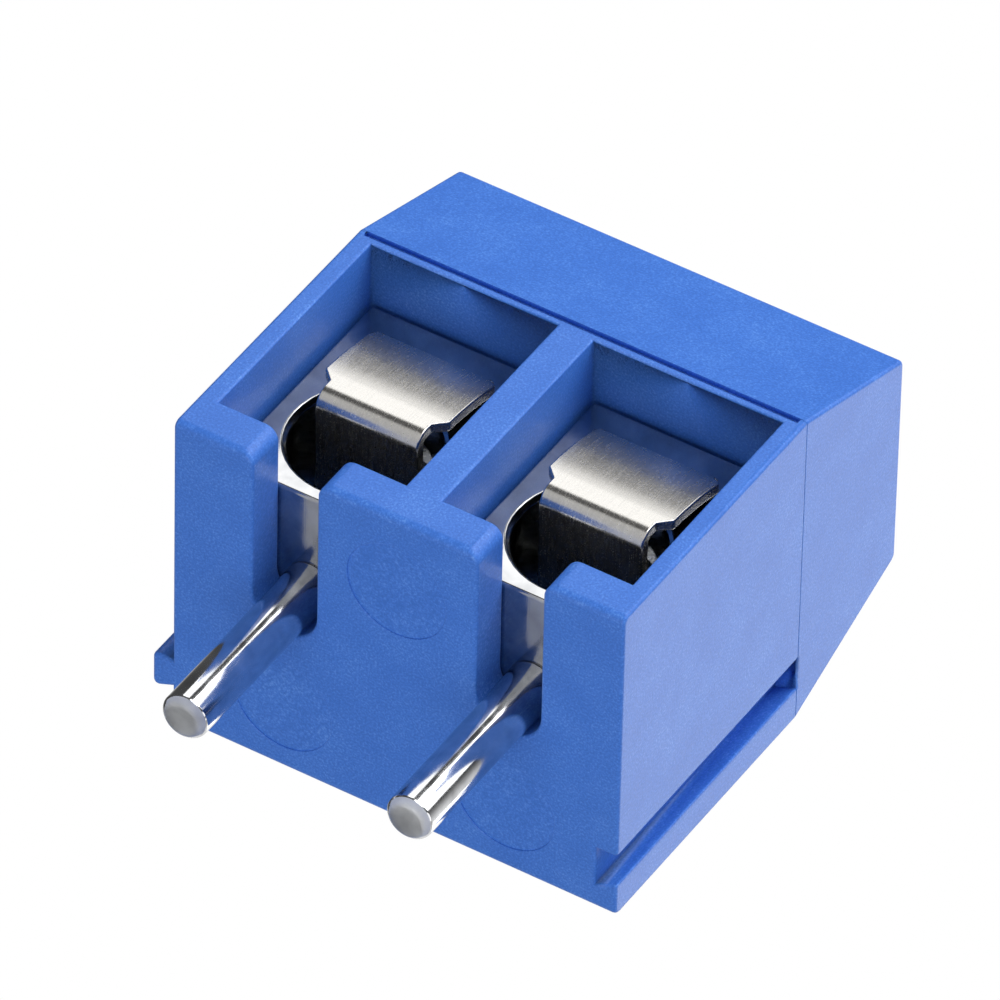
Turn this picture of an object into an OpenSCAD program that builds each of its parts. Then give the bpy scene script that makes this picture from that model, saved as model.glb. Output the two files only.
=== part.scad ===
// Two-pole screw terminal block for circuit boards: a one-piece moulding with a wire
// pocket for each pole, and in each pocket a clamping cage on a solder pin, a sprung
// wire guard and a slotted clamp screw.
// +Z is the screw side, -Y the wire side, -Z the board side. The origin lies on the
// board, half way between the two pins.

/* [Row] */
// Distance from one pole to the next
pole_pitch = 5; // [5:0.1:7.5]
// Clear width of a wire pocket
pocket_w = 4.2; // [3.5:0.1:4.5]
// Wall outside the end pockets
side_wall = 0.4; // [0.3:0.05:1.2]

/* [Housing] */
// Height from the board to the top face
total_h = 10.15; // [9.6:0.05:14]
// Wall under the pockets
floor_t = 0.95; // [0.7:0.05:1.6]
// Gap between a cage and the roof of its pocket
headroom = 0.1; // [0.05:0.05:0.4]
// Upright strip between the pocket roof and the front slope
land_h = 0.25; // [0.2:0.05:0.8]
// Room in front of the cages, back from the front face
mouth_depth = 1.45; // [1.2:0.05:2.5]
// How far the front slope leans back
front_run = 1.15; // [0.4:0.05:1.2]
// How far the rear slope leans forward
rear_run = 1.45; // [0.4:0.05:1.6]
// Rounding of the long edges, apart from the crisp one above the parting groove
edge_r = 0.18; // [0.05:0.01:0.3]
// Height of the parting groove along the front
parting_h = 0.13; // [0.08:0.01:0.2]
// Depth of the parting groove
parting_depth = 0.1; // [0.04:0.02:0.2]
// Length of plain face left at each end of the parting groove
parting_end = 0.15; // [0.1:0.05:1]
// Room on each side of a pin in its slot
slot_gap = 0.22; // [0.1:0.01:0.4]
// Room behind a pin's shoulder at the end of its slot
slot_end_gap = 0.01; // [0.01:0.01:0.2]
// Rounding of the slot mouths at the front face
slot_mouth_r = 0.3; // [0.1:0.05:0.35]
// Room round a screw head in its well
well_gap = 0.15; // [0.1:0.05:0.3]
// Chamfer round the top of a well
well_chamfer = 0.15; // [0.05:0.05:0.25]
// Diameter of the round ejector marks under the housing
mark_d = 2.2; // [1:0.1:2.2]
// Depth of the ejector marks
mark_depth = 0.03; // [0.02:0.01:0.1]

/* [Side key] */
// Depth of the key groove in the right side
key_depth = 0.48; // [0.3:0.02:0.6]
// Width of the key groove at its mouth
key_w = 0.75; // [0.5:0.05:1.2]
// How far the rear flank of the groove is cut under
key_undercut = 0.2; // [0.05:0.05:0.4]
// Play of the tongue in a neighbour's groove, on each face
key_gap = 0.03; // [0.02:0.01:0.1]
// Wall between the back of the pockets and the groove
key_wall = 0.34; // [0.2:0.02:1]
// Solid heel behind the groove
heel = 0.81; // [0.6:0.03:2]
// Rounding of the tongue's outer edges
tongue_r = 0.12; // [0.05:0.01:0.15]

/* [Cage] */
// Depth of a cage in front of the pin line
cage_front = 2.2; // [2:0.05:3]
// Depth of a cage behind the pin line
cage_back = 1.8; // [1.7:0.05:3]
// Height of a cage
cage_h = 5.25; // [5:0.05:7]
// Gap between a cage and each side of its pocket
cage_gap = 0.1; // [0.05:0.05:0.2]
// Diameter of the wire bore
bore_d = 3; // [2.5:0.1:3.1]
// Metal left under the wire bore
bore_floor = 0.4; // [0.3:0.05:0.8]
// Chamfer round both ends of the wire bore
bore_chamfer = 0.1; // [0.04:0.02:0.14]
// Radial play of a screw in its tapped hole
thread_gap = 0.03; // [0.02:0.01:0.08]

/* [Pins] */
// Diameter of a solder pin
pin_d = 1; // [0.8:0.05:1.2]
// Length of a pin below the board side
pin_l = 3.55; // [2.5:0.05:6]
// Bevel round the tip of a pin
pin_tip = 0.12; // [0.05:0.01:0.3]
// Extra diameter of a pin at its shoulder under the cage
shoulder_gain = 0.06; // [0.02:0.01:0.1]
// Diameter of the neck that is staked in the floor of the cage
neck_d = 0.8; // [0.6:0.05:0.8]
// Radial play of the neck in the floor of the cage
neck_gap = 0.01; // [0.005:0.005:0.03]

/* [Wire guard] */
// Thickness of the guard's sheet
guard_t = 0.25; // [0.15:0.01:0.3]
// Height of the tongue above the middle of the bore
tongue_lift = 0; // [-0.2:0.05:0.3]
// Room left between the tongue's edges and the bore at the ends of its travel
tongue_gap = 0.04; // [0.02:0.01:0.1]
// Width of the front lip
lip_w = 2.8; // [2.3:0.05:3.2]
// Height of the front lip above the tongue's underside
lip_h = 2.5; // [1.6:0.05:2.6]
// How far the lip's curve leans back
lip_lean = 0.35; // [0.2:0.05:0.5]
// Outer radius of the guard's bends
bend_r = 0.35; // [0.32:0.01:0.5]
// Height at which the lip starts to widen, above the tongue's underside
flare_start = 0.5; // [0.35:0.05:0.8]
// Rounding of the lip's upper corners
lip_corner_r = 0.2; // [0.1:0.05:0.4]
// Gap between the guard's lips and the cage
lip_gap = 0.05; // [0.03:0.01:0.1]
// Height of the rear lip above the tongue's underside
rear_lip_h = 1.1; // [0.6:0.05:1.6]

/* [Clamp screw] */
// Diameter of the screw's thread
screw_d = 2.5; // [2:0.1:3]
// Diameter of the screw's head
head_d = 3.5; // [3.2:0.1:4.2]
// Height of the screw's head
head_h = 1.5; // [1:0.05:1.6]
// Chamfer round the top of the head
head_chamfer = 0.15; // [0.05:0.05:0.3]
// Width of the driver slot
slot_w = 0.6; // [0.4:0.05:0.9]
// Depth of the driver slot
slot_depth = 0.75; // [0.4:0.05:0.9]
// Chamfer round the screw's tip
tip_chamfer = 0.3; // [0.1:0.05:0.5]
// Travel left before the head meets the cage
travel_down = 0.9; // [0.6:0.05:1.1]
// Travel of the guard from rest to the top of the bore
travel_up = 0.6; // [0.3:0.05:0.8]
// Gap left under the head at the end of that travel
head_gap = 0.05; // [0.03:0.01:0.2]
// Gap between the screw's tip and the guard
tip_gap = 0.02; // [0.01:0.01:0.05]

/* [Hidden] */
$fn = 64;

left_x = -pole_pitch / 2;
right_x = pole_pitch / 2;
pole_xs = [left_x, right_x];

// heights, upwards from the board
cage_z = floor_t;
cage_top = cage_z + cage_h;
roof_z = cage_top + headroom;
parting_z = roof_z + land_h;
bore_z = cage_z + bore_floor + bore_d / 2;
tongue_z = bore_z + tongue_lift;
tip_z = tongue_z + guard_t + tip_gap;
head_z = cage_top + head_gap + travel_down;

// places along Y, backwards from the pin line
front_y = -cage_front - mouth_depth;
pocket_back = cage_back + 2 * lip_gap + guard_t;
key_y = pocket_back + key_wall;
back_y = key_y + key_w + heel;
top_front_y = front_y + front_run;
top_back_y = back_y - rear_run;

housing_w = pole_pitch + pocket_w + 2 * side_wall;
side_x = housing_w / 2;
cage_w = pocket_w - 2 * cage_gap;
pin_slot_w = pin_d + 2 * slot_gap;
well_d = head_d + 2 * well_gap;

// the tongue is as wide as the bore allows where it lies furthest off the bore's middle
tongue_reach = max(travel_down - tongue_lift, travel_up + tongue_lift + guard_t);
tongue_half = bore_d / 2 - tongue_gap;
tongue_w = 2 * sqrt(tongue_half * tongue_half - tongue_reach * tongue_reach);

// the lip is an arc that starts upright at the front bend
lip_rise = lip_h - bend_r;
lip_r = (lip_rise * lip_rise + lip_lean * lip_lean) / (2 * lip_lean);
lip_angle = asin(lip_rise / lip_r);
lip_front_y = -cage_front - lip_gap - guard_t - lip_lean;

// eps lets cutters pass through the faces they open
eps = 0.1;

// ---- Housing ----

// where a rounding of radius r touches the two sides of a corner
function touch_points(corner, before, after, r) =
    let (
        u = (before - corner) / norm(before - corner),
        v = (after - corner) / norm(after - corner),
        half = acos(u * v) / 2
    )
    [corner + u * r / tan(half), corner + v * r / tan(half)];

// middle of that rounding
function round_centre(corner, before, after, r) =
    let (
        u = (before - corner) / norm(before - corner),
        v = (after - corner) / norm(after - corner),
        half = acos(u * v) / 2
    )
    corner + (u + v) / norm(u + v) * r / sin(half);

// closed outline whose corners are rounded by radii, 0 for a sharp one
module rounded_outline(corners, radii) {
    count = len(corners);
    before = [for (i = [0:count - 1]) corners[(i + count - 1) % count]];
    after = [for (i = [0:count - 1]) corners[(i + 1) % count]];
    polygon([
        for (i = [0:count - 1])
            each radii[i] > 0
                ? touch_points(corners[i], before[i], after[i], radii[i])
                : [corners[i]]
    ]);
    for (i = [0:count - 1])
        if (radii[i] > 0)
            translate(round_centre(corners[i], before[i], after[i], radii[i]))
                circle(radii[i]);
}

// side view of the moulding, across the row
module housing_profile() {
    rounded_outline([
        [front_y, 0],
        [back_y, 0],
        [back_y, parting_z],
        [top_back_y, total_h],
        [top_front_y, total_h],
        [front_y, parting_z]
    ], [edge_r, edge_r, edge_r, edge_r, edge_r, 0]);
}

// extrudes a side view, drawn as Y and Z, evenly to both sides of x = 0
module across(width) {
    rotate([90, 0, 90])
        linear_extrude(width, center = true)
            children();
}

// wire pocket, open to the front
module pocket() {
    translate([-pocket_w / 2, front_y - eps, floor_t])
        cube([pocket_w, pocket_back - front_y + eps, roof_z - floor_t]);
}

// slot through the floor that lets a pin slide in from the front
module pin_slot() {
    end_r = pin_slot_w / 2;
    end_y = (pin_d + shoulder_gain) / 2 + slot_end_gap - end_r;
    translate([0, 0, -eps])
        linear_extrude(floor_t + 2 * eps) {
            translate([-end_r, front_y - eps])
                square([pin_slot_w, end_y - front_y + eps]);
            translate([0, end_y])
                circle(end_r);
            for (side = [-1, 1])
                scale([side, 1])
                    difference() {
                        translate([0, front_y - eps])
                            square([end_r + slot_mouth_r, slot_mouth_r + eps]);
                        translate([end_r + slot_mouth_r, front_y + slot_mouth_r])
                            circle(slot_mouth_r);
                    }
        }
}

// round well that takes the screw head, open into the pocket
module screw_well() {
    translate([0, 0, roof_z - eps])
        cylinder(h = total_h - roof_z + 2 * eps, d = well_d);
    translate([0, 0, total_h - well_chamfer])
        cylinder(h = well_chamfer + eps, d1 = well_d, d2 = well_d + 2 * (well_chamfer + eps));
}

// plan of the key: square front flank, rear flank cut under. It points to -X, over is
// how far it starts on the other side of x = 0, and r rounds its two outer corners
module key_plan(depth, width, over = 0, r = 0) {
    slope = key_undercut / key_depth;
    rounded_outline([
        [over, 0],
        [-depth, 0],
        [-depth, width + slope * depth],
        [over, width - slope * over]
    ], [0, r, r, 0]);
}

module key_groove() {
    translate([side_x, key_y, -eps])
        linear_extrude(parting_z + eps)
            key_plan(key_depth, key_w, eps);
}

// tongue on the left side, smaller than the groove all round
module key_tongue() {
    translate([-side_x, key_y + key_gap, 0])
        linear_extrude(parting_z)
            key_plan(key_depth - key_gap, key_w - 2 * key_gap, r = tongue_r);
}

// fine groove where the mould halves meet, above the pockets
module parting_groove() {
    groove_w = housing_w - 2 * parting_end;
    translate([-groove_w / 2, front_y - eps, parting_z - parting_h])
        cube([groove_w, eps + parting_depth, parting_h]);
}

module ejector_marks() {
    rear_y = (back_y + pin_d / 2 + slot_gap) / 2;
    front_mark_y = front_y / 2;
    for (place = [[0, front_mark_y], [left_x, rear_y], [right_x, rear_y]])
        translate([place[0], place[1], -eps])
            cylinder(h = eps + mark_depth, d = mark_d);
}

module housing() {
    color([0.10, 0.33, 0.80]) {
        difference() {
            across(housing_w) housing_profile();
            for (x = pole_xs)
                translate([x, 0, 0]) {
                    pocket();
                    pin_slot();
                    screw_well();
                }
            key_groove();
            parting_groove();
            ejector_marks();
        }
        key_tongue();
    }
}

// ---- Clamping cage ----

// bar with a round wire bore from front to back and a tapped hole from the top
module cage() {
    depth = cage_front + cage_back;
    chamfer_reach = bore_chamfer + eps;
    color([0.80, 0.80, 0.78])
        difference() {
            translate([-cage_w / 2, -cage_front, cage_z])
                cube([cage_w, depth, cage_h]);
            translate([0, -cage_front - eps, bore_z])
                rotate([-90, 0, 0])
                    cylinder(h = depth + 2 * eps, d = bore_d);
            translate([0, -cage_front - eps, bore_z])
                rotate([-90, 0, 0])
                    cylinder(h = chamfer_reach, d1 = bore_d + 2 * chamfer_reach, d2 = bore_d);
            translate([0, cage_back - bore_chamfer, bore_z])
                rotate([-90, 0, 0])
                    cylinder(h = chamfer_reach, d1 = bore_d, d2 = bore_d + 2 * chamfer_reach);
            translate([0, 0, tip_z - travel_down])
                cylinder(h = cage_top - tip_z + travel_down + eps, d = screw_d + 2 * thread_gap);
            translate([0, 0, cage_z - eps])
                cylinder(h = bore_z - cage_z + eps, d = neck_d + 2 * neck_gap);
        }
}

// ---- Solder pin ----

// round pin that widens to a shoulder under the cage; its neck is staked through the
// cage's floor, flush with the lowest line of the bore
module pin() {
    tip_d = pin_d - 2 * pin_tip;
    color([0.86, 0.86, 0.86]) {
        translate([0, 0, -pin_l])
            cylinder(h = pin_tip, d1 = tip_d, d2 = pin_d);
        translate([0, 0, -pin_l + pin_tip])
            cylinder(h = pin_l - pin_tip, d = pin_d);
        cylinder(h = cage_z, d1 = pin_d, d2 = pin_d + shoulder_gain);
        translate([0, 0, cage_z])
            cylinder(h = bore_floor, d = neck_d);
    }
}

// ---- Wire guard ----

// quarter ring of a bend, centred on its own axis; start is its first angle
module bend_ring(start) {
    intersection() {
        difference() {
            circle(bend_r);
            circle(bend_r - guard_t);
        }
        rotate(start)
            square(bend_r + eps);
    }
}

// side view of the curved front lip, from the bend upwards
module lip_ring() {
    far = 2 * lip_r;
    intersection() {
        translate([lip_r, 0])
            difference() {
                circle(lip_r, $fn = 128);
                circle(lip_r - guard_t, $fn = 128);
            }
        translate([lip_r, 0])
            polygon([
                [0, 0],
                [-far, 0],
                [-far * cos(lip_angle), far * sin(lip_angle)]
            ]);
    }
}

// side view of the whole strip: front lip, bend, tongue, bend, rear lip
module guard_profile() {
    bend_z = tongue_z + bend_r;
    front_bend_y = lip_front_y + bend_r;
    rear_y = cage_back + lip_gap + guard_t;
    rear_bend_y = rear_y - bend_r;
    translate([lip_front_y, bend_z])
        lip_ring();
    translate([front_bend_y, bend_z])
        bend_ring(180);
    translate([front_bend_y, tongue_z])
        square([rear_bend_y - front_bend_y, guard_t]);
    translate([rear_bend_y, bend_z])
        bend_ring(270);
    translate([rear_y - guard_t, bend_z])
        square([guard_t, rear_lip_h - bend_r]);
}

// front view that trims the strip: narrow tongue below, wide lip with round corners above
module lip_outline() {
    flare = (lip_w - tongue_w) / 2;
    wide_z = tongue_z + flare_start + flare;
    top_z = tongue_z + lip_h;
    corner_z = top_z - lip_corner_r;
    translate([-tongue_w / 2, tongue_z - eps])
        square([tongue_w, wide_z - tongue_z + eps]);
    polygon([
        [-tongue_w / 2, tongue_z + flare_start],
        [tongue_w / 2, tongue_z + flare_start],
        [lip_w / 2, wide_z],
        [-lip_w / 2, wide_z]
    ]);
    translate([-lip_w / 2, wide_z])
        square([lip_w, corner_z - wide_z]);
    translate([-lip_w / 2 + lip_corner_r, wide_z])
        square([lip_w - 2 * lip_corner_r, top_z - wide_z]);
    for (side = [-1, 1])
        translate([side * (lip_w / 2 - lip_corner_r), corner_z])
            circle(lip_corner_r);
}

module wire_guard() {
    color([0.72, 0.72, 0.70]) {
        intersection() {
            across(lip_w) guard_profile();
            translate([0, -cage_front, 0])
                rotate([90, 0, 0])
                    linear_extrude(mouth_depth)
                        lip_outline();
        }
        intersection() {
            across(tongue_w) guard_profile();
            translate([-tongue_w / 2, -cage_front - lip_gap, 0])
                cube([tongue_w, cage_front + lip_gap + pocket_back, total_h]);
        }
    }
}

// ---- Clamp screw ----

// slotted cheese-head screw whose flat tip bears on the guard
module clamp_screw() {
    chamfer_z = head_z + head_h - head_chamfer;
    color([0.75, 0.75, 0.74])
        difference() {
            union() {
                translate([0, 0, tip_z])
                    cylinder(h = tip_chamfer, d1 = screw_d - 2 * tip_chamfer, d2 = screw_d);
                translate([0, 0, tip_z + tip_chamfer])
                    cylinder(h = head_z - tip_z - tip_chamfer, d = screw_d);
                translate([0, 0, head_z])
                    cylinder(h = head_h - head_chamfer, d = head_d);
                translate([0, 0, chamfer_z])
                    cylinder(h = head_chamfer, d1 = head_d, d2 = head_d - 2 * head_chamfer);
            }
            translate([-head_d / 2 - eps, -slot_w / 2, head_z + head_h - slot_depth])
                cube([head_d + 2 * eps, slot_w, slot_depth + eps]);
        }
}

housing();
translate([left_x, 0, 0]) cage();  // cage_left
translate([right_x, 0, 0]) cage();  // cage_right
translate([left_x, 0, 0]) pin();  // pin_left
translate([right_x, 0, 0]) pin();  // pin_right
translate([left_x, 0, 0]) wire_guard();  // wire_guard_left
translate([right_x, 0, 0]) wire_guard();  // wire_guard_right
translate([left_x, 0, 0]) clamp_screw();  // clamp_screw_left
translate([right_x, 0, 0]) clamp_screw();  // clamp_screw_right
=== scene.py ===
import math

import bmesh
import bpy
from mathutils import Matrix, Vector


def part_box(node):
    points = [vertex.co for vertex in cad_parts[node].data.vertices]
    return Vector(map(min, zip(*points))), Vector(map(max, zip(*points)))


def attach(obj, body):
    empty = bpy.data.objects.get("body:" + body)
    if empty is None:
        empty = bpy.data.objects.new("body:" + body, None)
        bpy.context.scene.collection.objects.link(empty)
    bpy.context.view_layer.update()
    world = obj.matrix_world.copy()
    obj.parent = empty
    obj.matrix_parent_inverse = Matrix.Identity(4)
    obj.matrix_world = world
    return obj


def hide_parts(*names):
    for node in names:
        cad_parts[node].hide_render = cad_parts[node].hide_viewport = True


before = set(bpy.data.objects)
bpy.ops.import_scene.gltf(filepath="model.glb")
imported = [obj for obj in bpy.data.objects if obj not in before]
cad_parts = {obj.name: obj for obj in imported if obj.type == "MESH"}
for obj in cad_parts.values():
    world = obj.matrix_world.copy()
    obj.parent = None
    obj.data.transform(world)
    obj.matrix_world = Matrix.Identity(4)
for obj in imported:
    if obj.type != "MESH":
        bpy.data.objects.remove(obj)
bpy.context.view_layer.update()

scene = bpy.context.scene
scene.view_settings.view_transform = "Standard"

# shapes are made in millimetres and finished in metres
mm = 0.001
# places closer together than this, in millimetres, count as one
near = 0.01


def middleX(name):
    low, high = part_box(name)
    return round((low.x + high.x) / 2 / mm, 3)


# where the middle of each pole is
sides = {side: middleX("pin_" + side) for side in ("left", "right")}

# place and target in millimetres
cameraSet = {
    "place": (116.409769, -207.541969, -187.876356),
    "target": (-0.713042, -0.067411, 4.854551),
    "up": (-0.371426, -0.73575, 0.566317),
    "lens": 578.546,
    "sensor": 36.0,
    "clip": (0.01, 10),    # metres
}


def makeCamera():
    data = bpy.data.cameras.new("camera")
    data.lens = cameraSet["lens"]
    data.sensor_width = cameraSet["sensor"]
    data.clip_start, data.clip_end = cameraSet["clip"]
    camera = bpy.data.objects.new("camera", data)
    scene.collection.objects.link(camera)
    place = Vector(cameraSet["place"])
    back = (place - Vector(cameraSet["target"])).normalized()
    right = Vector(cameraSet["up"]).cross(back).normalized()
    up = back.cross(right)
    turn = Matrix((right, up, back)).transposed()
    camera.matrix_world = Matrix.Translation(place * mm) @ turn.to_4x4()
    scene.camera = camera


makeCamera()
print("camera set")


def newMaterial(name):
    material = bpy.data.materials.new(name)
    material.use_nodes = True
    tree = material.node_tree
    shader = next(n for n in tree.nodes if n.type == "BSDF_PRINCIPLED")
    return material, tree, shader


def node(tree, kind, inputs=None, **settings):
    made = tree.nodes.new(kind)
    for key, value in settings.items():
        setattr(made, key, value)
    for key, value in (inputs or {}).items():
        made.inputs[key].default_value = value
    return made


def objectPoints(tree, scale=(1, 1, 1)):
    # object coordinates in millimetres, stretched by scale
    coords = node(tree, "ShaderNodeTexCoord")
    mapping = node(tree, "ShaderNodeMapping", {"Scale": [s / mm for s in scale]})
    tree.links.new(coords.outputs["Object"], mapping.inputs["Vector"])
    return mapping.outputs["Vector"]


def noise(tree, points, scale, detail, roughness, distortion=0.0):
    made = node(tree, "ShaderNodeTexNoise", {
        "Scale": scale, "Detail": detail, "Roughness": roughness, "Distortion": distortion})
    tree.links.new(points, made.inputs["Vector"])
    return made.outputs["Fac"]


def spread(tree, value, low, high, fromLow=0.3, fromHigh=0.7):
    # maps a pattern's usual range to low .. high
    made = node(tree, "ShaderNodeMapRange", {
        "From Min": fromLow, "From Max": fromHigh, "To Min": low, "To Max": high})
    tree.links.new(value, made.inputs["Value"])
    return made.outputs["Result"]


def blend(tree, first, second, share):
    # share of the first pattern, and the rest of the second
    rest = node(tree, "ShaderNodeMath", {1: 1 - share}, operation="MULTIPLY")
    tree.links.new(second, rest.inputs[0])
    made = node(tree, "ShaderNodeMath", {1: share}, operation="MULTIPLY_ADD")
    tree.links.new(first, made.inputs[0])
    tree.links.new(rest.outputs[0], made.inputs[2])
    return made.outputs[0]


def greatest(tree, *sources):
    most = sources[0]
    for source in sources[1:]:
        larger = node(tree, "ShaderNodeMath", operation="MAXIMUM")
        tree.links.new(most, larger.inputs[0])
        tree.links.new(source, larger.inputs[1])
        most = larger.outputs[0]
    return most


def ramp(tree, value, stops):
    # colours at their places along a pattern
    made = node(tree, "ShaderNodeValToRGB")
    elements = made.color_ramp.elements
    while len(elements) < len(stops):
        elements.new(0.5)
    for element, (place, colour) in zip(elements, stops):
        element.position = place
        element.color = (*colour, 1)
    tree.links.new(value, made.inputs["Fac"])
    return made.outputs["Color"]


def bump(tree, shader, height, strength, distance, under=None):
    # distance in millimetres; under is a bump that this one lies on
    made = node(tree, "ShaderNodeBump", {"Strength": strength, "Distance": distance * mm})
    tree.links.new(height, made.inputs["Height"])
    if under is not None:
        tree.links.new(under, made.inputs["Normal"])
    tree.links.new(made.outputs["Normal"], shader.inputs["Normal"])
    return made.outputs["Normal"]


plasticSet = {
    # colours, each with its place in the pattern's range
    "blues": [
        (0.40, (0.042, 0.160, 0.60)),
        (0.50, (0.052, 0.185, 0.67)),
        (0.58, (0.066, 0.215, 0.72)),
        (0.66, (0.12, 0.30, 0.78)),
    ],
    # patterns: scale per millimetre, detail, roughness
    "clouds": (0.9, 4, 0.6),
    "speckle": (20.0, 2, 0.7),
    "waves": (3.0, 2, 0.5),
    "grain": (22.0, 2, 0.65),
    "speckleShare": 0.75,
    "rough": (0.36, 0.48),
    "ior": 1.46,
    "gloss": 0.38,
    # bumps: strength, and depth in millimetres
    "waveBump": (0.25, 0.02),
    "grainBump": (0.5, 0.006),
    "seamBump": (1.0, 0.02),
    # mould parting line all round the block, and its reach to either side
    "seamZ": 6.53,
    "seamReach": 0.03,
}


def seam(tree, points):
    # 0 on the parting line, 1 beside it
    axes = node(tree, "ShaderNodeSeparateXYZ")
    tree.links.new(points, axes.inputs["Vector"])
    away = node(tree, "ShaderNodeMath", {1: plasticSet["seamZ"]}, operation="SUBTRACT")
    tree.links.new(axes.outputs["Z"], away.inputs[0])
    size = node(tree, "ShaderNodeMath", operation="ABSOLUTE")
    tree.links.new(away.outputs[0], size.inputs[0])
    return spread(tree, size.outputs[0], 0.0, 1.0, 0.0, plasticSet["seamReach"])


def makePlastic():
    # dyed plastic with the fine eroded surface of its mould
    material, tree, shader = newMaterial("moulded plastic")
    points = objectPoints(tree)
    clouds, speckle, waves, grain = (
        noise(tree, points, *plasticSet[name]) for name in ("clouds", "speckle", "waves", "grain"))
    mixed = blend(tree, speckle, clouds, plasticSet["speckleShare"])
    tree.links.new(ramp(tree, mixed, plasticSet["blues"]), shader.inputs["Base Color"])
    tree.links.new(spread(tree, grain, *plasticSet["rough"]), shader.inputs["Roughness"])
    shader.inputs["IOR"].default_value = plasticSet["ior"]
    shader.inputs["Specular IOR Level"].default_value = plasticSet["gloss"]
    soft = bump(tree, shader, waves, *plasticSet["waveBump"])
    fine = bump(tree, shader, grain, *plasticSet["grainBump"], under=soft)
    bump(tree, shader, seam(tree, points), *plasticSet["seamBump"], under=fine)
    return material


tinSet = {
    "greys": [(0.3, (0.36, 0.365, 0.375)), (0.7, (0.52, 0.525, 0.53))],
    # patterns: scale per millimetre, detail, roughness, distortion
    "clouds": (1.7, 3, 0.5, 0.4),
    "marks": (2.0, 3, 0.6),
    # how much the drawing marks are packed across the metal, and drawn out along it
    "across": 6.0,
    "along": 0.35,
    "cloudBump": (0.2, 0.006),
    "markBump": (0.35, 0.003),
    # axis the metal was drawn along, roughness, and how bright the plating colour is drawn; the
    # cage and pins share one tin, darker on the cage as painted shade and brighter on the pins as
    # painted light
    "cage": {"axis": 1, "rough": (0.09, 0.176), "bright": 1.0},
    "pin": {"axis": 2, "rough": (0.08, 0.176), "bright": 1.45},
}


def makeTin(part):
    # bright plating with faint marks from drawing the metal, its colour scaled per part: painted
    # shade on the cage, painted light on the pins
    finish = tinSet[part]
    material, tree, shader = newMaterial("tinned " + part)
    shader.inputs["Metallic"].default_value = 1
    stretch = [tinSet["across"]] * 3
    stretch[finish["axis"]] = tinSet["along"]
    marks = noise(tree, objectPoints(tree, stretch), *tinSet["marks"])
    clouds = noise(tree, objectPoints(tree), *tinSet["clouds"])
    # painted light and shade: one tin colour, drawn darker on the cage and 1.45 times brighter on
    # the pins
    greys = [(place, [c * finish["bright"] for c in grey]) for place, grey in tinSet["greys"]]
    tree.links.new(ramp(tree, clouds, greys), shader.inputs["Base Color"])
    tree.links.new(spread(tree, clouds, *finish["rough"]), shader.inputs["Roughness"])
    soft = bump(tree, shader, clouds, *tinSet["cloudBump"])
    bump(tree, shader, marks, *tinSet["markBump"], under=soft)
    return material


springSet = {
    "greys": [(0.36, (0.47, 0.46, 0.44)), (0.6, (0.60, 0.585, 0.555))],
    # patterns: scale per millimetre, detail, roughness
    "lines": (1.6, 3, 0.6),
    "grain": (26, 2, 0.6),
    "grainShare": 0.5,
    # the rolling lines are packed across the strip, along x
    "stretch": (22, 1.2, 1.2),
    "rough": (0.20, 0.30),
    "bump": (0.25, 0.002),     # strength, and depth in millimetres
}


def makeSpringSheet():
    # rolled strip with fine lines along its length and a light grain
    material, tree, shader = newMaterial("spring sheet")
    shader.inputs["Metallic"].default_value = 1
    lines = noise(tree, objectPoints(tree, springSet["stretch"]), *springSet["lines"])
    grain = noise(tree, objectPoints(tree), *springSet["grain"])
    mixed = blend(tree, grain, lines, springSet["grainShare"])
    tree.links.new(ramp(tree, mixed, springSet["greys"]), shader.inputs["Base Color"])
    tree.links.new(spread(tree, mixed, *springSet["rough"]), shader.inputs["Roughness"])
    bump(tree, shader, mixed, *springSet["bump"])
    return material


zincSet = {
    "greys": [(0.35, (0.55, 0.56, 0.55)), (0.65, (0.78, 0.79, 0.77))],
    # patterns: scale per millimetre, detail, roughness, distortion
    "clouds": (2.2, 4, 0.6, 0.3),
    "grain": (18, 2, 0.6),
    "rough": (0.22, 0.38),
    "bump": (0.4, 0.005),      # strength, and depth in millimetres
}


def makeScrewSteel():
    # zinc-plated steel: mottled passivation and a soft grain
    material, tree, shader = newMaterial("screw steel")
    shader.inputs["Metallic"].default_value = 1
    points = objectPoints(tree)
    clouds = noise(tree, points, *zincSet["clouds"])
    grain = noise(tree, points, *zincSet["grain"])
    tree.links.new(ramp(tree, clouds, zincSet["greys"]), shader.inputs["Base Color"])
    tree.links.new(spread(tree, grain, *zincSet["rough"]), shader.inputs["Roughness"])
    bump(tree, shader, grain, *zincSet["bump"])
    return material


plastic = makePlastic()
cageTin = makeTin("cage")
pinTin = makeTin("pin")
springSheet = makeSpringSheet()
screwSteel = makeScrewSteel()
print("materials made")


meshSet = {
    "merge": 0.0005,       # millimetres
    # degrees up to which faces are parts of one flat face, or are shaded as one curve
    "flatTo": 0.6,
    "curveTo": 30,
}


def copyOfNode(name, merge=meshSet["merge"]):
    # the node's shape in millimetres, merged, with its flat faces whole
    bm = bmesh.new()
    bm.from_mesh(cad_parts[name].data)
    bmesh.ops.scale(bm, vec=(1 / mm,) * 3, verts=bm.verts)
    bmesh.ops.remove_doubles(bm, verts=bm.verts, dist=merge)
    flatTo = math.radians(meshSet["flatTo"])
    bmesh.ops.dissolve_limit(bm, angle_limit=flatTo, verts=bm.verts, edges=bm.edges)
    return bm


def sharpness(edge):
    # angle of an outward edge in degrees, 0 for a flat or hollow one
    if len(edge.link_faces) != 2:
        return 0
    return max(0, math.degrees(edge.calc_face_angle_signed(0)))


def sameWidth(width):
    # one width for every outward edge that isn't part of a curve
    return lambda edge: width if sharpness(edge) > meshSet["curveTo"] else 0


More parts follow.
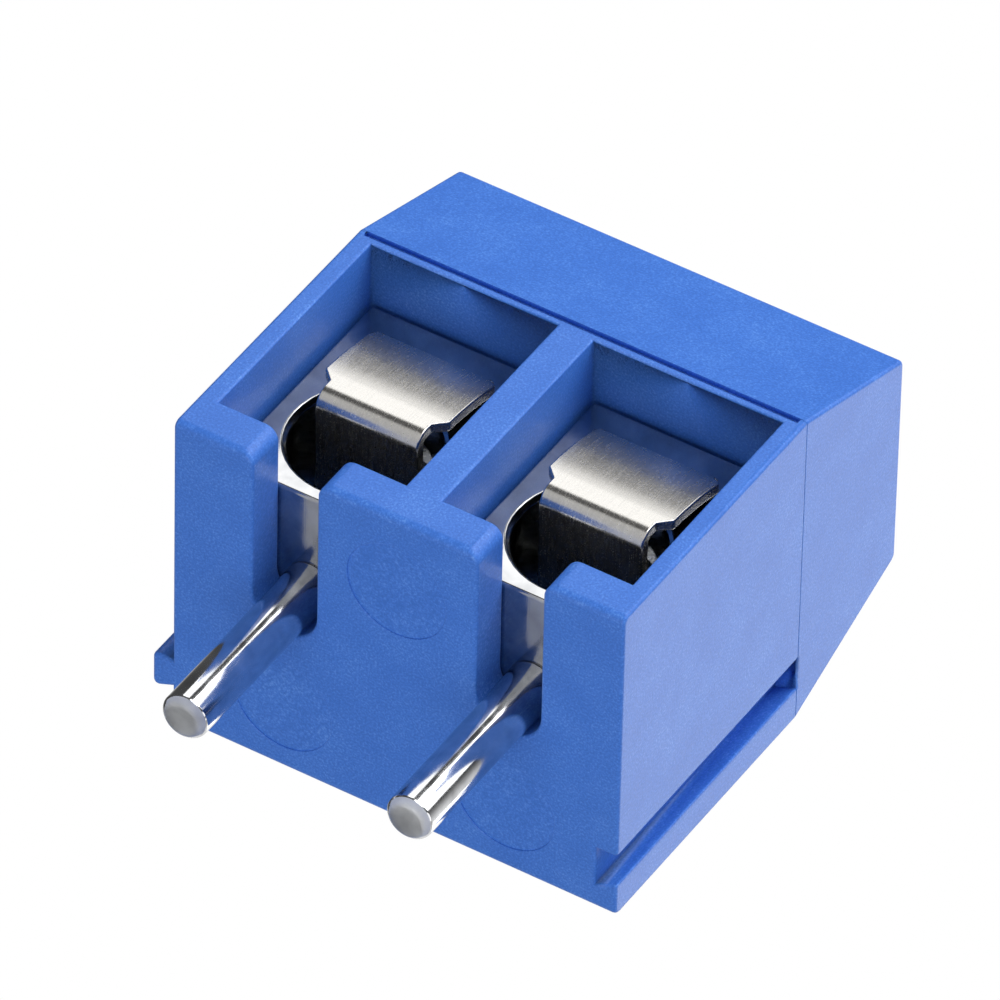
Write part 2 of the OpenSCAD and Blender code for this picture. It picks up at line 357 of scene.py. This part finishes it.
def softenEdges(bm, widthOf, segments):
    # rounds each edge by the width, in millimetres, that widthOf gives it, and evens
    # the shading of the flat faces beside it
    layer = bm.edges.layers.float.new("bevel_weight_edge")
    widths = {edge: widthOf(edge) for edge in bm.edges}
    widest = max(widths.values())
    curveTo = math.radians(meshSet["curveTo"])
    for face in bm.faces:
        face.smooth = True
    for edge, width in widths.items():
        edge[layer] = width / widest
        edge.smooth = width > 0 or edge.calc_face_angle(0) < curveTo
    work = bpy.data.meshes.new("work")
    bm.to_mesh(work)
    bm.free()
    holder = bpy.data.objects.new("work", work)
    scene.collection.objects.link(holder)
    rounding = holder.modifiers.new("rounding", "BEVEL")
    rounding.limit_method = "WEIGHT"
    rounding.width = widest
    rounding.segments = segments
    rounding.profile = 0.5
    rounding.use_clamp_overlap = False
    rounding.loop_slide = False
    even = holder.modifiers.new("even shading", "WEIGHTED_NORMAL")
    even.keep_sharp = True
    even.weight = 100
    split = holder.modifiers.new("triangles", "TRIANGULATE")
    split.min_vertices = 5
    split.keep_custom_normals = True
    shaped = bpy.data.meshes.new_from_object(
        holder.evaluated_get(bpy.context.evaluated_depsgraph_get()))
    bpy.data.objects.remove(holder)
    bpy.data.meshes.remove(work)
    return shaped


def finishPiece(mesh, name, body, material, nodes):
    # brings the mesh to metres, names it, gives it its material, hides the nodes it stands for and
    # ties it to its body
    mesh.transform(Matrix.Scale(mm, 4))
    mesh.name = name
    mesh.materials.clear()
    mesh.materials.append(material)
    piece = bpy.data.objects.new(name, mesh)
    scene.collection.objects.link(piece)
    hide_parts(*nodes)
    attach(piece, body)


mouldingSet = {
    # rounding of the outer edges, and of the finer ones
    "edge": 0.08,
    "roofEdge": 0.04,
    "parting": 0.015,
    "well": 0.035,
    "mark": 0.02,
    "segments": 3,
    "sharpFrom": 25,       # degrees
    # where the finer edges lie
    "roofZ": 6.3,
    "grooveFrom": 6.35,
    "wellReach": 2.1,
    "markDepth": 0.03,
    "markR": 1.1,
    "markPlaces": [(0, -1.825), (sides["left"], 2.385), (sides["right"], 2.385)],
}
# where the front face and the right end of the block are
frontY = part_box("housing")[0].y / mm
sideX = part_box("housing")[1].x / mm


def onMark(point):
    # whether a point lies on the rim of an ejector mark
    return point.z < mouldingSet["markDepth"] + near and any(
        abs(math.hypot(point.x - x, point.y - y) - mouldingSet["markR"]) < 2 * near
        for x, y in mouldingSet["markPlaces"])


def mouldingWidth(edge):
    if sharpness(edge) < mouldingSet["sharpFrom"]:
        return 0
    a, b = edge.verts[0].co, edge.verts[1].co
    mid = (a + b) / 2
    lowest = min(a.z, b.z)
    poleX = min(sides.values(), key=lambda x: abs(mid.x - x))
    atEnd = abs(mid.x) > sideX - near
    atFront = max(a.y, b.y) < frontY + near
    if onMark(mid):
        return mouldingSet["mark"]
    # parting groove, and the ridge beside it
    if atFront and lowest > mouldingSet["grooveFrom"] and not atEnd:
        return mouldingSet["parting"]
    inReach = math.hypot(mid.x - poleX, mid.y) < mouldingSet["wellReach"]
    if inReach and lowest > mouldingSet["roofZ"] - near:
        return mouldingSet["well"]
    if atFront and abs(mid.z - mouldingSet["roofZ"]) < near:
        return mouldingSet["roofEdge"]
    return mouldingSet["edge"]


def makeMoulding():
    bm = copyOfNode("housing")
    mesh = softenEdges(bm, mouldingWidth, mouldingSet["segments"])
    finishPiece(mesh, "moulding", "root", plastic, ["housing"])


makeMoulding()
print("moulding made")


cageSet = {
    "corner": 0.07,
    "rim": 0.03,
    "segments": 3,
    "sharpFrom": 20,       # degrees
    "cornerFrom": 0.6,     # shorter edges belong to the bore's rim
}


def cageWidth(edge):
    if sharpness(edge) < cageSet["sharpFrom"]:
        return 0
    return cageSet["corner"] if edge.calc_length() > cageSet["cornerFrom"] else cageSet["rim"]


def makeCage(side):
    bm = copyOfNode("cage_" + side)
    mesh = softenEdges(bm, cageWidth, cageSet["segments"])
    finishPiece(mesh, "clamp_cage_" + side, "root", cageTin, ["cage_" + side])


pinSet = {"tip": 0.05, "segments": 3}


def makePin(side):
    bm = copyOfNode("pin_" + side)
    mesh = softenEdges(bm, sameWidth(pinSet["tip"]), pinSet["segments"])
    finishPiece(mesh, "solder_pin_" + side, "root", pinTin, ["pin_" + side])


# the guard's rounded corners have very short edges, so its copy is merged further
guardSet = {"edge": 0.045, "segments": 2, "merge": 0.01}


def makeGuard(side):
    bm = copyOfNode("wire_guard_" + side, guardSet["merge"])
    mesh = softenEdges(bm, sameWidth(guardSet["edge"]), guardSet["segments"])
    finishPiece(mesh, "guard_strip_" + side, "guard_" + side, springSheet,
                ["wire_guard_" + side])


screwSet = {
    "edge": 0.05,
    "segments": 2,
    "shankR": 1.25,
    "pitch": 0.45,
    "depth": 0.13,
    "plainEnd": 0.05,      # unthreaded wall at both ends
    "runOut": 0.6,         # turns before the thread starts to deepen
    # heights within one turn, as shares of the pitch, and 0 for crest or 1 for root
    "profile": [(0.0, 0), (0.12, 0), (0.5, 1), (0.62, 1)],
}


def cutThread(bm, axisX):
    # swaps the plain wall of the shank for a helical one that runs out at both ends
    def radius(v):
        return math.hypot(v.co.x - axisX, v.co.y)

    def angle(v):
        return math.atan2(v.co.y, v.co.x - axisX) % (2 * math.pi)

    def onWall(face):
        upright = abs(face.normal.z) < 0.1
        return upright and all(abs(radius(v) - screwSet["shankR"]) < near for v in face.verts)

    wall = [face for face in bm.faces if onWall(face)]
    verts = {v for face in wall for v in face.verts}
    lowZ, highZ = min(v.co.z for v in verts), max(v.co.z for v in verts)
    bottom = sorted((v for v in verts if v.co.z < lowZ + near), key=angle)
    top = sorted((v for v in verts if v.co.z > highZ - near), key=angle)
    bmesh.ops.delete(bm, geom=wall, context="FACES")

    pitch, profile, plainEnd = screwSet["pitch"], screwSet["profile"], screwSet["plainEnd"]
    step = len(profile)
    turns = int((highZ - lowZ - 2 * plainEnd) / pitch) - 1
    rows = turns * step
    threadEnd = turns + 1 - screwSet["runOut"]
    columns = []
    for v in bottom:
        turn = angle(v)
        column = []
        for row in range(rows + 1):
            share, deep = profile[row % step]
            along = row // step + share + turn / (2 * math.pi)
            fade = max(0, min(1, along - screwSet["runOut"], threadEnd - along))
            r = screwSet["shankR"] - screwSet["depth"] * deep * fade
            z = lowZ + plainEnd + along * pitch
            column.append(bm.verts.new((axisX + r * math.cos(turn), r * math.sin(turn), z)))
        columns.append(column)

    for i in range(len(columns) - 1):
        here, beside = columns[i], columns[i + 1]
        bm.faces.new((bottom[i], bottom[i + 1], beside[0], here[0]))
        for row in range(rows):
            bm.faces.new((here[row], beside[row], beside[row + 1], here[row + 1]))
        bm.faces.new((here[rows], beside[rows], top[i + 1], top[i]))
    # where the last column meets the first, one turn higher up
    here, beside = columns[-1], columns[0]
    bm.faces.new((bottom[-1], bottom[0], *beside[:step + 1], here[0]))
    for row in range(rows - step):
        bm.faces.new((here[row], beside[row + step], beside[row + step + 1], here[row + 1]))
    lastTurn = reversed(here[rows - step + 1:])
    bm.faces.new((here[rows - step], beside[rows], top[0], top[-1], *lastTurn))
    return lowZ, highZ


def makeScrew(side):
    bm = copyOfNode("clamp_screw_" + side)
    lowZ, highZ = cutThread(bm, sides[side])

    def width(edge):
        onThread = any(lowZ + near < v.co.z < highZ - near for v in edge.verts)
        return 0 if onThread else sameWidth(screwSet["edge"])(edge)

    mesh = softenEdges(bm, width, screwSet["segments"])
    finishPiece(mesh, "slotted_screw_" + side, "screw_" + side, screwSteel,
                ["clamp_screw_" + side])


for side in sides:
    makeCage(side)
    makePin(side)
    makeGuard(side)
    makeScrew(side)
print("metal pieces made")


studioSet = {
    "floorZ": -3.6,
    "floorR": 90.0,
    "floorSides": 96,
    "floorFade": (0.2, 0.95),         # shares of its radius
    "floorGrey": 0.9,
    "floorRough": 0.9,
    "worldLevel": 0.22,
    # reflections are white towards paleSide and dim away from it
    "paleSide": (0.25, 0.8, 0.55),
    "paleFade": (0.3, 0.95),
    "dimLevel": 0.08,
    "aim": (0, 0, 3),
    "lamps": {
        # place and size in millimetres, and level on a facing surface
        "front": ((60, -170, 60), 150, 0.64),
        "key": ((-75, -130, 125), 85, 0.10),
        "under": ((20, -22, -160), 130, 0.56),
        "above": ((70, -90, 120), 150, 0.42),
        "right": ((170, -10, 20), 120, 0.2),
        "behind": ((75, 135, 125), 120, 0.16),
    },
}


def makeFloor():
    bm = bmesh.new()
    floorR = studioSet["floorR"] * mm
    bmesh.ops.create_circle(bm, cap_ends=True, segments=studioSet["floorSides"], radius=floorR)
    bmesh.ops.translate(bm, vec=(0, 0, studioSet["floorZ"] * mm), verts=bm.verts)
    mesh = bpy.data.meshes.new("floor")
    bm.to_mesh(mesh)
    bm.free()
    floor = bpy.data.objects.new("floor", mesh)
    scene.collection.objects.link(floor)
    material, tree, shader = newMaterial("floor")
    shader.inputs["Base Color"].default_value = (*[studioSet["floorGrey"]] * 3, 1)
    shader.inputs["Roughness"].default_value = studioSet["floorRough"]
    # seen from above only, fading out towards its rim, and clear for the lamp under it
    geometry = node(tree, "ShaderNodeNewGeometry")
    light = node(tree, "ShaderNodeLightPath")
    coords = node(tree, "ShaderNodeTexCoord")
    far = node(tree, "ShaderNodeVectorMath", operation="LENGTH")
    tree.links.new(coords.outputs["Object"], far.inputs[0])
    fadeFrom, fadeTo = (share * floorR for share in studioSet["floorFade"])
    fade = node(tree, "ShaderNodeMapRange", {"From Min": fadeFrom, "From Max": fadeTo},
                interpolation_type="SMOOTHSTEP")
    tree.links.new(far.outputs["Value"], fade.inputs["Value"])
    gone = greatest(tree, fade.outputs["Result"], geometry.outputs["Backfacing"],
                    light.outputs["Is Shadow Ray"], light.outputs["Is Diffuse Ray"])
    clear = node(tree, "ShaderNodeBsdfTransparent")
    mix = node(tree, "ShaderNodeMixShader")
    tree.links.new(gone, mix.inputs["Fac"])
    tree.links.new(shader.outputs["BSDF"], mix.inputs[1])
    tree.links.new(clear.outputs["BSDF"], mix.inputs[2])
    output = next(n for n in tree.nodes if n.type == "OUTPUT_MATERIAL")
    tree.links.new(mix.outputs["Shader"], output.inputs["Surface"])
    mesh.materials.append(material)


def makeLamps():
    aim = Vector(studioSet["aim"])
    for name, (place, size, level) in studioSet["lamps"].items():
        data = bpy.data.lights.new(name, "AREA")
        data.shape = "DISK"
        data.size = size * mm
        distance = (Vector(place) - aim).length * mm
        # power that lights a facing surface to the given level at that distance
        data.energy = level * math.pi * distance ** 2 * math.pi
        lamp = bpy.data.objects.new(name, data)
        lamp.location = Vector(place) * mm
        lamp.rotation_mode = "QUATERNION"
        lamp.rotation_quaternion = (Vector(place) - aim).to_track_quat("Z", "Y")
        scene.collection.objects.link(lamp)


def makeWorld():
    world = bpy.data.worlds.new("studio")
    world.use_nodes = True
    scene.world = world
    tree = world.node_tree
    background = next(n for n in tree.nodes if n.type == "BACKGROUND")
    light = node(tree, "ShaderNodeLightPath")
    seen = greatest(tree, *(light.outputs[ray] for ray in (
        "Is Camera Ray", "Is Glossy Ray", "Is Transmission Ray")))
    # reflections fade from the white surroundings on one side to a dim room on the other
    coords = node(tree, "ShaderNodeTexCoord")
    facing = node(tree, "ShaderNodeVectorMath", {1: studioSet["paleSide"]}, operation="DOT_PRODUCT")
    tree.links.new(coords.outputs["Generated"], facing.inputs[0])
    fadeFrom, fadeTo = studioSet["paleFade"]
    room = node(tree, "ShaderNodeMapRange", {
        "From Min": fadeFrom, "From Max": fadeTo, "To Min": studioSet["dimLevel"], "To Max": 1.0},
        interpolation_type="SMOOTHSTEP")
    tree.links.new(facing.outputs["Value"], room.inputs["Value"])
    bright = greatest(tree, room.outputs["Result"], light.outputs["Is Camera Ray"])
    level = node(tree, "ShaderNodeMapRange", {"To Min": studioSet["worldLevel"]})
    tree.links.new(seen, level.inputs["Value"])
    tree.links.new(bright, level.inputs["To Max"])
    tree.links.new(level.outputs["Result"], background.inputs["Strength"])
    background.inputs["Color"].default_value = (1, 1, 1, 1)


makeFloor()
makeLamps()
makeWorld()
print("studio made")
